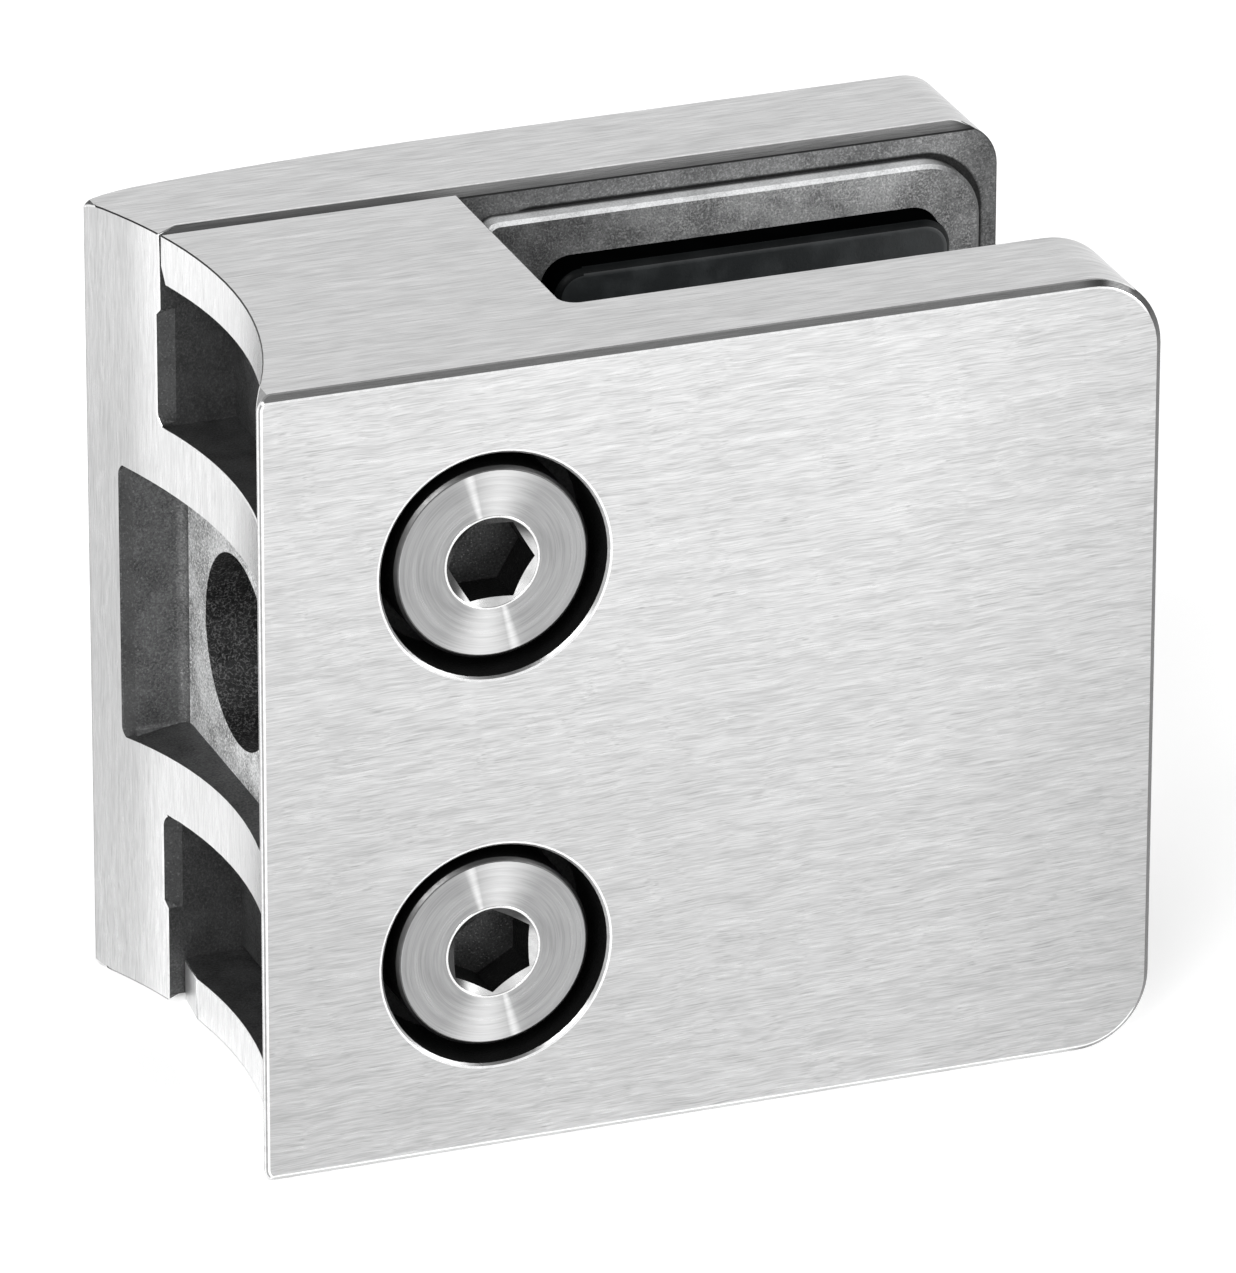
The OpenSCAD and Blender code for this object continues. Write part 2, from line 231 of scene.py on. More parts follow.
class Nodes:
    """A thin hand for wiring one node tree: add a node, set what is constant, link what is not."""

    def __init__(self, tree):
        self.tree = tree
        tree.nodes.clear()

    def give(self, socket, value):
        """Links a socket to another one, or sets its constant."""
        if isinstance(value, bpy.types.NodeSocket):
            self.tree.links.new(value, socket)
        else:
            socket.default_value = value

    def add(self, kind, props=None, **inputs):
        """A new node. An input is named, or given by its place as _0, _1 and so on."""
        node = self.tree.nodes.new(kind)
        for key, value in (props or {}).items():
            setattr(node, key, value)
        for key, value in inputs.items():
            by_place = key[0] == "_" and key[1:].isdigit()
            self.give(node.inputs[int(key[1:]) if by_place else key.replace("_", " ")], value)
        return node

    def place(self):
        return self.add("ShaderNodeTexCoord").outputs["Object"]

    def math(self, operation, a, b=0.0, clamp=False):
        return self.add("ShaderNodeMath", {"operation": operation, "use_clamp": clamp}, _0=a, _1=b).outputs[0]

    def shares(self, a, of_a, b, of_b):
        """The sum of two numbers, each taken by its share."""
        return self.math("ADD", self.math("MULTIPLY", a, of_a), self.math("MULTIPLY", b, of_b))

    def vector(self, operation, a, b):
        return self.add("ShaderNodeVectorMath", {"operation": operation}, _0=a, _1=b).outputs[0]

    def scaled(self, vector, factor):
        return self.add("ShaderNodeVectorMath", {"operation": "SCALE"}, _0=vector, Scale=factor).outputs[0]

    def length(self, vector):
        return self.add("ShaderNodeVectorMath", {"operation": "LENGTH"}, _0=vector).outputs["Value"]

    def noise(self, vector, scale, detail=2.0, rough=0.5):
        node = self.add("ShaderNodeTexNoise", None, Vector=vector, Scale=scale, Detail=detail, Roughness=rough)
        return node.outputs["Fac"]

    def stretched(self, vector, scale, rotation=(0, 0, 0)):
        """Scales a vector by a different number on each axis, so a round pattern becomes long marks."""
        node = self.add("ShaderNodeMapping", {"vector_type": "POINT"}, Vector=vector, Scale=scale, Rotation=rotation)
        return node.outputs[0]

    def range(self, value, low, high, to_low, to_high):
        node = self.add("ShaderNodeMapRange", {"clamp": True}, _0=value, _1=low, _2=high, _3=to_low, _4=to_high)
        return node.outputs[0]

    def soft_range(self, value, low, high, to_low, to_high):
        node = self.add("ShaderNodeMapRange", {"interpolation_type": "SMOOTHSTEP"}, _0=value, _1=low, _2=high,
                        _3=to_low, _4=to_high)
        return node.outputs[0]

    def mix_colour(self, factor, a, b):
        node = self.add("ShaderNodeMix", {"data_type": "RGBA"})
        for socket, value in ((node.inputs["Factor"], factor), (node.inputs[6], a), (node.inputs[7], b)):
            self.give(socket, value)
        return node.outputs[2]

    def bump(self, strength, distance, height):
        node = self.add("ShaderNodeBump", None, Strength=strength, Distance=distance, Height=height)
        return node.outputs[0]

    def surface(self, **inputs):
        """The shader and the material's output."""
        node = self.add("ShaderNodeBsdfPrincipled", None, **inputs)
        self.add("ShaderNodeOutputMaterial", None, Surface=node.outputs[0])
        return node


def new_material(name):
    mat = bpy.data.materials.new(name)
    mat.use_nodes = True
    return mat, Nodes(mat.node_tree)


def toned(colour, factor):
    """A colour made darker or lighter by a factor."""
    return tuple(min(1.0, c * factor) for c in colour)


def shaded(colour, factor):
    """A colour made darker or lighter by a factor, with alpha."""
    return toned(colour, factor) + (1.0,)


def spark_grey(white, least, colour):
    """The grey of sparks and veins: brighter on a brighter cast skin."""
    return shaded((white, white, white), least + (1 - least) * min(1.0, 2.2 * colour[1]))


def painted(n, obj, paint, steps):
    """Painted light and shade: a colour multiplied by soft steps along the axes: each is (axis, from, to, factor,
    factor).
    """
    if not steps:
        return paint
    axes = n.add("ShaderNodeSeparateXYZ", None, Vector=obj).outputs
    level = None
    for axis, start, end, low, high in steps:
        ramp = n.soft_range(axes[axis], start, end, low, high)
        level = ramp if level is None else n.math("MULTIPLY", level, ramp)
    return n.scaled(paint, level)


def brushed(name, colour, along, finish, roughness=(0.27, 0.40), contrast=0.20, tilt=(0, 0, 0), steps=()):
    """Brushed steel. Short fine marks, longer bands and soft clouds are one noise stretched by three
    amounts along the brushing; a slow wander bends the marks, and sparse dark scratches lie on top."""
    mat, n = new_material(name)
    obj = n.place()
    wander = n.add("ShaderNodeTexNoise", None, Vector=obj, Scale=0.55 / finish.brush_length, Detail=1.0)
    wander = n.scaled(wander.outputs["Color"], 0.0004)
    turned_way = n.stretched(n.vector("ADD", obj, wander), (1, 1, 1), tilt)

    def marks(width, length, detail):
        scale = [length / finish.brush_length if axis in along else width / finish.brush_width for axis in range(3)]
        return n.noise(n.stretched(turned_way, scale), 1.0, detail, 0.6)

    fine, bands, clouds = marks(1.0, 1.0, 3.0), marks(0.3, 0.5, 2.0), marks(0.08, 0.3, 1.0)
    both = n.math("ADD", n.shares(fine, 0.58, bands, 0.27), n.math("MULTIPLY", clouds, 0.15))
    tone = n.range(both, 0.36, 0.64, 0.0, 1.0)
    paint = n.mix_colour(tone, shaded(colour, 1 - contrast), shaded(colour, 1 + contrast))
    scratch = n.range(marks(1.6, 0.8, 0.0), 0.22, 0.32, 0.75, 0.0)
    paint = n.mix_colour(n.math("MULTIPLY", scratch, 3 * contrast, True), paint, shaded(colour, 0.45))
    n.surface(Base_Color=painted(n, obj, paint, steps), Metallic=1.0,
              Roughness=n.range(both, 0.36, 0.64, roughness[1], roughness[0]), Normal=n.bump(0.35, 0.000012, both))
    return mat


def foot_line(n, obj, foot):
    """Painted shade in a dark line round a seat, at any depth. How far a place lies outside a rounded rectangle is
    the length of its distance past the rectangle's straight parts. Foot is: middle x and z, half sizes, corner
    radius, width."""
    middle_x, middle_z, half_x, half_z, radius, width = foot
    away = n.add("ShaderNodeVectorMath", {"operation": "ABSOLUTE"},
                 _0=n.vector("SUBTRACT", obj, (middle_x, 0.0, middle_z))).outputs[0]
    away = n.vector("SUBTRACT", away, (half_x - radius, FAR, half_z - radius))
    reach = n.length(n.vector("MAXIMUM", away, (0.0, 0.0, 0.0)))
    return n.range(reach, radius + 0.5 * width, radius + width, 0.06, 1.0)


def cast_skin(name, colour, finish, roughness=0.55, contrast=0.40, sparks=0.35, veins=0.0, metallic=0.85, steps=(),
              foot=None):
    """Blasted cast steel: grains over slow stains, with sparse bright sparks, fine winding veins and, where asked,
    painted shade in a dark line at the foot of the seat."""
    mat, n = new_material(name)
    obj = n.place()
    grains = n.noise(obj, 1 / finish.speckle, 2.0, 0.65)
    stains = n.noise(obj, 0.07 / finish.speckle, 3.0, 0.6)
    tone = n.shares(n.range(grains, 0.32, 0.68, 0.0, 1.0), 0.60, n.range(stains, 0.38, 0.62, 0.0, 1.0), 0.40)
    paint = n.mix_colour(tone, shaded(colour, 1 - contrast), shaded(colour, 1 + contrast))
    if sparks:
        patches = n.range(n.noise(obj, 0.15 / finish.speckle, 1.0, 0.5), 0.42, 0.60, 0.15, sparks)
        spots = n.range(n.noise(obj, 1.1 / finish.speckle, 1.5, 0.5), 0.60, 0.70, 0.0, 1.0)
        paint = n.mix_colour(n.math("MULTIPLY", spots, patches), paint, spark_grey(0.9, 0.35, colour))
    if veins:
        fold = n.math("ABSOLUTE", n.math("SUBTRACT", n.noise(obj, 0.45 / finish.speckle, 1.5, 0.5), 0.5))
        vein = n.math("MULTIPLY", n.range(fold, 0.012, 0.060, veins, 0.0), n.range(grains, 0.40, 0.60, 0.1, 1.0))
        paint = n.mix_colour(vein, paint, spark_grey(0.95, 0.5, colour))
    # Painted shade: darker in a line round the seat's foot
    if foot:
        paint = n.scaled(paint, foot_line(n, obj, foot))
    n.surface(Base_Color=painted(n, obj, paint, steps), Metallic=metallic,
              Roughness=n.range(grains, 0.3, 0.7, roughness + 0.12, roughness - 0.10),
              Normal=n.bump(0.7, 0.00004, n.math("ADD", grains, n.math("MULTIPLY", stains, 0.6))))
    return mat


def polished(name, colour, roughness=0.16, steps=()):
    """Plain bright steel for bevels and broken edges."""
    mat, n = new_material(name)
    obj = n.place()
    grain = n.noise(obj, 2500.0, 2.0, 0.5)
    paint = n.mix_colour(n.range(grain, 0.35, 0.65, 0.0, 1.0), shaded(colour, 0.93), shaded(colour, 1.07))
    n.surface(Base_Color=painted(n, obj, paint, steps), Metallic=1.0,
              Roughness=n.range(grain, 0.3, 0.7, roughness * 1.15, roughness * 0.85))
    return mat


def turned(name, colour, centre, roughness=(0.26, 0.38)):
    """Turned steel: noise over the distance from the screw's axis, broken up round the axis, gives short arcs in
    colour, roughness and bump, and two opposite fans of painted highlight lie across the rings."""
    mat, n = new_material(name)
    arm = n.vector("SUBTRACT", n.place(), (centre[0], 0.0, centre[1]))
    arm = n.vector("MULTIPLY", arm, (1.0, 0.0, 1.0))
    radius = n.length(arm)
    way = n.add("ShaderNodeVectorMath", {"operation": "NORMALIZE"}, _0=arm).outputs[0]

    def rings(density, breaks, detail):
        across = n.add("ShaderNodeCombineXYZ", None, Y=n.math("MULTIPLY", radius, density)).outputs[0]
        return n.noise(n.vector("ADD", across, n.scaled(way, breaks)), 1.0, detail, 0.6)

    def fan(degrees, spread, strength):
        """Painted highlight: bright where the direction from the axis lies near one line through it."""
        line = (math.cos(math.radians(degrees)), 0.0, math.sin(math.radians(degrees)))
        off = n.length(n.vector("CROSS_PRODUCT", way, line))
        return n.soft_range(off, 0.0, math.sin(math.radians(spread)), strength, 0.0)

    both = n.shares(rings(11000.0, 1.6, 3.0), 0.6, rings(2600.0, 0.8, 1.0), 0.4)
    tone = n.range(both, 0.36, 0.64, 0.0, 1.0)
    paint = n.mix_colour(tone, shaded(colour, 0.84), shaded(colour, 1.14))
    # Painted highlight: the fans mix the rings' colour towards white
    painted_highlight = n.math("MULTIPLY", n.math("MAXIMUM", *(fan(*of) for of in FANS)), n.range(tone, 0.0, 1.0, 0.75, 1.0))
    surface = n.surface(Base_Color=n.mix_colour(painted_highlight, paint, (1, 1, 1, 1)), Metallic=1.0,
                        Roughness=n.range(both, 0.34, 0.66, roughness[1], roughness[0]),
                        Normal=n.bump(0.4, 0.00001, both), Tangent=n.vector("CROSS_PRODUCT", way, (0.0, 1.0, 0.0)))
    surface.inputs["Anisotropic"].default_value = 0.6
    return mat


def rubber(name, colour, sheen=0.5):
    """Moulded rubber: nearly black, with a soft sheen, faint dust and a fine grain."""
    mat, n = new_material(name)
    obj = n.place()
    grain = n.noise(obj, 5200.0, 2.0, 0.6)
    dust = n.range(n.noise(obj, 420.0, 3.0, 0.6), 0.45, 0.75, 0.0, 1.0)
    paint = n.mix_colour(n.math("MULTIPLY", dust, 0.5), shaded(colour, 1.0), shaded(colour, 2.2))
    surface = n.surface(Base_Color=paint, Roughness=n.range(dust, 0.0, 1.0, 0.42, 0.6),
                        Normal=n.bump(0.35, 0.00003, grain))
    surface.inputs["Specular IOR Level"].default_value = sheen
    return mat


# ---------------------------------------------------------------- finished copies of the solids


def added(name, data):
    """A new object in the scene, at the origin until it is placed."""
    obj = bpy.data.objects.new(name, data)
    bpy.context.scene.collection.objects.link(obj)
    return obj


def smooth(mesh):
    mesh.polygons.foreach_set("use_smooth", np.ones(len(mesh.polygons), bool))


def merged_copy(node, name):
    """A copy of a CAD node's mesh with its loose triangles joined and its flat faces made whole."""
    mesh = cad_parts[node].data.copy()
    mesh.name = name
    mesh.materials.clear()
    bm = bmesh.new()
    bm.from_mesh(mesh)
    bmesh.ops.remove_doubles(bm, verts=bm.verts, dist=MERGE_DISTANCE)
    bmesh.ops.dissolve_limit(bm, angle_limit=FLAT_ANGLE, verts=bm.verts, edges=bm.edges)
    bm.to_mesh(mesh)
    bm.free()
    for attribute in ("custom_normal", "sharp_face", "sharp_edge"):
        if attribute in mesh.attributes:
            mesh.attributes.remove(mesh.attributes[attribute])
    smooth(mesh)
    mesh.set_sharp_from_angle(angle=SHARP_ANGLE)
    return added(name, mesh)


def faces(mesh):
    """Centres and normals of a mesh's faces, as two arrays."""
    count = len(mesh.polygons)
    centre, normal = np.empty(count * 3), np.empty(count * 3)
    mesh.polygons.foreach_get("center", centre)
    mesh.polygons.foreach_get("normal", normal)
    return centre.reshape(-1, 3), normal.reshape(-1, 3)


def assign(obj, materials, index):
    for mat in materials:
        obj.data.materials.append(mat)
    obj.data.polygons.foreach_set("material_index", np.asarray(index, np.int32))


def round_edges(obj, radius, segments=2, slots=(-1,), choose=None):
    """Breaks the sharp outer edges and keeps the broad faces flat in their shading. Inner corners stay
    sharp. Each entry of slots is the material of one set of edges, and choose tells an edge's set from
    the materials of its two faces and its middle point, or turns it down with None."""
    bm = bmesh.new()
    bm.from_mesh(obj.data)
    weights = np.zeros((len(slots), len(bm.edges)), np.float32)
    for index, edge in enumerate(bm.edges):
        if len(edge.link_faces) != 2 or not edge.is_convex or edge.calc_face_angle(0.0) < SHARP_ANGLE:
            continue
        which = 0
        if choose is not None:
            materials = {face.material_index for face in edge.link_faces}
            which = choose(materials, (edge.verts[0].co + edge.verts[1].co) / 2)
        if which is not None:
            weights[which, index] = 1.0
    bm.free()
    for which, slot in enumerate(slots):
        name = "broken_edge_" + str(which)
        layer = obj.data.attributes.new(name, "FLOAT", "EDGE")
        layer.data.foreach_set("value", weights[which])
        bevel = obj.modifiers.new(name, "BEVEL")
        bevel.width = radius
        bevel.segments = segments
        bevel.limit_method = "WEIGHT"
        bevel.edge_weight = name
        bevel.loop_slide = False
        bevel.use_clamp_overlap = False
        bevel.miter_outer = "MITER_SHARP"
        bevel.material = slot
    normals = obj.modifiers.new("flat_faces", "WEIGHTED_NORMAL")
    normals.keep_sharp = True
    normals.weight = 60


class Regions:
    """The finish of each face of a mesh, as its place in the slots. A later choice wins."""

    def __init__(self, slots, count):
        self.slots = slots
        self.index = np.zeros(count, int)

    def put(self, name, where=slice(None)):
        self.index[where] = self.slots.index(name)


def at(value, place, tolerance=CLOSE):
    return np.abs(value - place) < tolerance


CASTING_SLOTS = (
    "broad", "edge", "saddle", "rim", "seat", "seat_side", "strip", "pocket_wall", "pocket_floor", "hollow", "hole",
    "bore", "bevel", "rim_bevel", "post_edge", "ring", "facet", "broken_edge", "dark_edge",
)


def casting_regions(centre, normal, is_cover):
    """Which finish each face of a casting takes, by where its centre lies and where its normal looks."""
    x, y, z = centre.T[0], centre.T[1], centre.T[2] - MIDDLE
    nx, ny, nz = normal.T
    away_x, away_y = x - POST_AXIS[0], y - POST_AXIS[1]
    reach = np.hypot(away_x, away_y)
    on_post = at(reach, POST_RADIUS, 0.00008) & (-(away_x * nx + away_y * ny) > 0.9 * reach)
    flat_end = at(np.abs(z), TOP, 0.0003) & (np.abs(nz) > 0.97)
    outer = (x > CORNER_LEFT) & (nx > 0.02) & (np.abs(ny) < 0.1)
    regions = Regions(CASTING_SLOTS, len(x))
    regions.put("seat")
    mark = cover_regions if is_cover else rear_regions
    mark(regions.put, (x, y, z), (nx, ny, nz), ~on_post, flat_end, outer)
    regions.put("saddle", on_post)
    return regions.index


def cover_regions(put, centre, normal, off_post, flat_end, outer):
    """The front cover: brushed face and edges, cast walls inside, and the counterbores."""
    (x, y, z), (nx, ny, nz) = centre, normal
    put("edge", flat_end | (outer & (y < COVER_PLATE_REAR)))
    put("hollow", (x < SLOT_X - 0.0001) & (np.abs(nz) > 0.5) & (np.abs(z) < TOP - 0.001))
    put("bevel", (y < BEVEL_REAR) & (ny < 0.9))
    put("post_edge", (x < POST_EDGE[0]) & (y < POST_EDGE[1]) & (nx < -0.3) & off_post)
    put("broad", at(y, FRONT) & (ny < -0.99))
    put("facet", (z < FACET_TOP) & (nx < -0.3) & (y > FACET_FRONT) & off_post & (np.abs(nz) < 0.1))
    for screw_low, screw_high in SCREW_BOX.values():
        screw_x, screw_z = (screw_low[0] + screw_high[0]) / 2, (screw_low[2] + screw_high[2]) / 2 - MIDDLE
        r = np.hypot(x - screw_x, z - screw_z)
        put("bore", (r < BORE_REACH) & (y > FRONT + JUST_OFF) & ~at(y, FRONT))
        put("ring", (r < RING_REACH[1]) & (r > RING_REACH[0]) & (y < RING_REAR) & (ny > -0.95))


def rear_regions(put, centre, normal, off_post, flat_end, outer):
    """The rear body: brushed plate, cast rim and seat, the arms' hollows, the pocket and the bolt's hole."""
    (x, y, z), (nx, ny, nz) = centre, normal
    plate = y > RIM - JUST_OFF
    put("edge", (flat_end & plate) | (outer & plate))
    put("rim", at(y, RIM) & (ny < -0.9))
    put("rim_bevel", plate & (np.abs(nz) > 0.8) & (ny < -0.15))
    put("broad", plate & (ny > -0.05) & (nx < 0.98) & (np.abs(nz) < 0.2) & ~outer & off_post)
    sideways = (ny >= -0.1) & (ny < 0.3) & (np.abs(nz) > 0.02)
    put("edge", plate & off_post & sideways & (np.abs(z) > REAR_CORNER_RISE) & (x > REAR_CORNER_LEFT))
    hollow = (x < STEP_X + CLOSE) & off_post & (y < RIM + CLOSE)
    bevelled = (ny < -0.3) & (nx < -0.2)
    put("hollow", hollow & ~(at(y, RIM) & (ny < -0.9)))
    put("strip", hollow & bevelled & (y > RIM - CLOSE) & (np.abs(z) > ARM_Z - 0.0001))
    put("strip", off_post & (x < STRIP_RIGHT) & (y > RIM) & (y < STRIP_REAR) & (ny < -0.3) & (nx < -0.15))
    in_depth = (y > POCKET_FRONT) & (y < POCKET_REAR + POCKET_LIP)
    pocket = (x < POCKET_X + CLOSE) & off_post & (np.abs(z) < POCKET_HALF) & in_depth
    upright = pocket & (np.abs(nz) <= 0.35)
    put("hollow", pocket & (np.abs(nz) > 0.35))
    put("pocket_wall", upright & ((ny < -0.5) | (nx > -0.95)))
    put("strip", pocket & bevelled & (y > POCKET_REAR + 0.00003))
    put("pocket_floor", at(x, POCKET_X) & (nx < -0.95) & (np.abs(z) < POCKET_HALF))
    put("seat_side", (x > SLOT_X) & (y < RIM - JUST_OFF) & (y > SEAT_Y - JUST_OFF) & (ny > -0.9))
    across = y - HOLE_Y
    r = np.hypot(across, z)
    rim_face = at(y, RIM) & (ny < -0.995) & (r < HOLE_RADIUS - 0.000015)
    put("hole", at(r, HOLE_RADIUS, 0.0001) & (-(across * ny + z * nz) > 0.9 * r) & ~rim_face)


def casting_edge(materials, middle):
    """The set of a casting's outer edge: 0 is bright, 1 is dark with painted shade, and an edge given None stays
    sharp.
    """
    names = {CASTING_SLOTS[index] for index in materials}
    in_pocket = abs(middle[2] - MIDDLE) < POCKET_EDGE_HALF and middle[1] < POCKET_REAR + POCKET_LIP
    inner = {"hollow", "hole", "bore", "ring", "pocket_wall", "pocket_floor", "strip"}
    if names <= inner and names != {"ring"}:
        return None
    if names <= {"seat", "seat_side", "rim", "strip", "hollow"} or (in_pocket and names & {"hollow", "pocket_wall"}):
        return None
    if names == {"rim", "rim_bevel"} or ("saddle" in names and names <= {"saddle", "edge", "broad"}):
        return 1
    if middle[0] > LAST_EDGE and names <= {"broad", "bevel"}:
        return None
    if "edge" in names and "broad" not in names and middle[0] > END_EDGE:
        return 1
    return 0


def casting_skins(finish):
    """One material for each entry of CASTING_SLOTS, in the same order. The steps paint light and shade onto a skin
    from place to place, as (axis, from, to, factor, factor)."""
    steel, cast = tuple(finish.steel), tuple(finish.cast)
    low, high, pad_right = COVER_LOW[2], COVER_HIGH[2], PAD_HIGH[0]
    # Painted light and shade: the front face brighter towards the top, darker towards the bottom and towards both
    # ends
    face = ((2, low, high, 0.88, 1.08), (0, LEFT, LEFT + 0.020, 0.94, 1.0), (0, LEFT + 0.042, RIGHT, 1.0, 0.88))
    # Painted light and shade on the saddle: lighter next to the rim, darker over the rear strip behind it, darker
    # towards the middle
    saddle_light_and_shade = ((1, RIM, RIM + 0.004, 1.20, 0.86), (2, MIDDLE - 0.020, MIDDLE, 1.0, 0.90),
              (2, MIDDLE + 0.01, high, 1.0, 1.08))
    # Painted shade on the rim: darker in the slot under the cover, lightening past the slot's end, darker towards the
    # right end past the pad
    rim = ((0, pad_right, RIGHT, 1.0, 0.5), (0, LEFT + 0.010, SLOT_X - 0.002, 0.30, 0.6),
           (0, SLOT_X, SLOT_X + 0.014, 1.0, 1.67))
    # Painted shade on the seat: darker next to the slot and at its right end
    seat = ((0, pad_right - 0.004, pad_right + 0.001, 1.0, 0.5), (0, SLOT_X, SLOT_X + 0.020, 0.36, 1.0))
    # Painted shade on the seat's side: nearly black at its foot by the rim and at its right end
    seat_side_shade = ((1, RIM - 0.0006, RIM - 0.0002, 1.0, 0.08), (0, pad_right - 0.0015, pad_right + 0.001, 1.0, 0.12))
    # Painted shade on the cover's front bevel towards its right corner
    corner = (0, RIGHT - 0.0062, RIGHT - 0.0040, 1.0, 0.16)
    # Painted shade on the rear plate's rim bevel at its right corner
    rear_corner_shade = (0, RIGHT - 0.0032, RIGHT - 0.0018, 1.0, 0.3)
    # Painted shade on the rim bevel: darker by the slot's end and along the joint with the cover, lighter further
    # back
    joint_shade = ((0, SLOT_X - 0.003, SLOT_X + 0.001, 0.5, 1.0), (1, RIM, RIM + 0.0012, 0.6, 1.15), rear_corner_shade)
    fine_grind = (0.16, 0.26)

    def steel_skin(name, factor, along, **kind):
        return brushed(name, toned(steel, factor), along, finish, **kind)

    def blasted(name, factor, **kind):
        return cast_skin(name, toned(cast, factor), finish, **kind)

    def edge_skin(name, factor, roughness):
        return polished(name, toned(steel, factor), roughness)

    # Each skin is a lighter or darker copy of the steel or cast colour: the cast skin's own grey is darkened by
    # painted shade in the hollows, the hole, the bore and the strip, and lightened by painted light on the seat's
    # side and the pocket floor; the post edge's steel is darkened by painted shade
    return [
        steel_skin("brushed_broad_face", 0.84, (0,), tilt=(0, 0.02, 0), steps=face),
        steel_skin("brushed_edge_face", 0.96, (0, 2), contrast=0.16),
        steel_skin("ground_saddle", 1.0, (2,), roughness=(0.24, 0.36), contrast=0.14, steps=saddle_light_and_shade),
        blasted("cast_rim", 0.75, contrast=0.45, sparks=0.3, veins=0.3, metallic=0.6, foot=SEAT_FOOT_SHADE, steps=rim),
        blasted("cast_seat", 1.15, contrast=0.65, veins=0.6, metallic=0.6, steps=seat),
        blasted("seat_side_skin", 2.4, contrast=0.3, metallic=0.5, steps=seat_side_shade),
        blasted("shaded_strip_bevel", 0.22, roughness=0.4, contrast=0.3, sparks=0.15),
        blasted("pocket_wall_skin", 0.50, contrast=0.5, sparks=0.55, veins=0.15),
        blasted("pocket_floor_skin", 1.75, contrast=0.8, veins=1.2, metallic=0.4),
        blasted("hollow_skin", 0.34, contrast=0.5, sparks=0.12),
        blasted("hole_skin", 0.20, roughness=0.5, contrast=0.8, sparks=0.6, veins=0.6),
        blasted("shaded_bore_skin", 0.10, roughness=0.5, sparks=0.0),
        steel_skin("brushed_bevel", 0.80, (0,), roughness=fine_grind, steps=(corner,)),
        steel_skin("rim_bevel_face", 0.92, (0,), roughness=fine_grind, contrast=0.3, steps=joint_shade),
        edge_skin("shaded_post_edge", 0.50, 0.22),
        edge_skin("counterbore_ring", 0.55, 0.30),
        steel_skin("ground_facet", 1.08, (2,), contrast=0.12),
        edge_skin("broken_edges", 1.30, 0.20),
        # Painted shade: nearly black steel for the edges along the rim bevel, the saddle and the right end
        edge_skin("shaded_broken_edges", 0.05, 0.35),
    ]


def socket_lip(name, centre, front, radius=0.0031, wire=0.00008, around=96, section=10):
    """The burnished lip round a socket: a torus whose centre line is a circle of the given radius in the
    plane of the head's face. Its section is an oval, the wire radius wide and half of that deep."""
    turn = np.linspace(0, 2 * np.pi, around, endpoint=False)[:, None]
    roll = np.linspace(0, 2 * np.pi, section, endpoint=False)[None, :]
    reach = radius + wire * np.cos(roll)
    depth = np.broadcast_to(front + 0.5 * wire * np.sin(roll), (around, section))
    points = np.stack([centre[0] + reach * np.cos(turn), depth, centre[1] + reach * np.sin(turn)], axis=-1)
    i, j = np.meshgrid(np.arange(around), np.arange(section), indexing="ij")
    k, m = (i + 1) % around, (j + 1) % section
    quads = np.stack([i * section + j, i * section + m, k * section + m, k * section + j], axis=-1)
    mesh = bpy.data.meshes.new(name)
    mesh.from_pydata(points.reshape(-1, 3).tolist(), [], quads.reshape(-1, 4).tolist())
    smooth(mesh)
    bm = bmesh.new()
    bm.from_mesh(mesh)
    bmesh.ops.recalc_face_normals(bm, faces=bm.faces)
    bm.to_mesh(mesh)
    bm.free()
    return added(name, mesh)


SCREW_SLOTS = ("head", "shank", "wall", "bottom", "side", "rim", "cone")


def screw_regions(centre, normal, axis, front):
    """Which finish each face of a screw takes, by its distance from the axis and its depth in the head."""
    r = np.hypot(centre[:, 0] - axis[0], centre[:, 2] - axis[1])
    depth = centre[:, 1] - front
    flat = np.abs(normal[:, 1])
    front_part = depth < HEAD_FRONT
    socket = (r < SOCKET_REACH) & (depth < SOCKET_DEPTH)
    regions = Regions(SCREW_SLOTS, len(r))
    regions.put("head")
    regions.put("shank", depth >= HEAD_DEPTH)
    regions.put("side", (r > HEAD_SIDE) & (flat < 0.3) & (depth < HEAD_DEPTH))
    regions.put("rim", (r > HEAD_SIDE) & (flat >= 0.3) & (flat < 0.98) & front_part)
    regions.put("cone", (r < CONE_REACH) & (depth > 0.00002) & (flat > 0.3) & front_part)
    regions.put("wall", socket & (depth > 0.0004) & (flat <= 0.3))
    regions.put("bottom", socket & (depth > 0.0012) & (flat > 0.6))
    return regions.index


def head_edge(materials, middle):
    """A screw's outer edges are broken, apart from those of its socket's walls."""
    return None if SCREW_SLOTS.index("wall") in materials else 0


# ---------------------------------------------------------------- operators


class CLAMP_OT_castings(bpy.types.Operator):
    """Finish the rear body and the front cover in brushed and cast steel"""

    bl_idname = "clamp.castings"
    bl_label = "Finish Castings"

    def execute(self, context):
        finish = context.scene.clamp_finish
        skins = casting_skins(finish)
        for node, body in (("rear_body", "rear"), ("front_cover", "cover")):
            obj = merged_copy(node, "finished_" + node)
            centre, normal = faces(obj.data)
            assign(obj, skins, casting_regions(centre, normal, node == "front_cover"))
            edge_sets = (CASTING_SLOTS.index("broken_edge"), CASTING_SLOTS.index("dark_edge"))
            round_edges(obj, finish.edge, slots=edge_sets, choose=casting_edge)
            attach(obj, body)
            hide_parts(node)
        return {"FINISHED"}


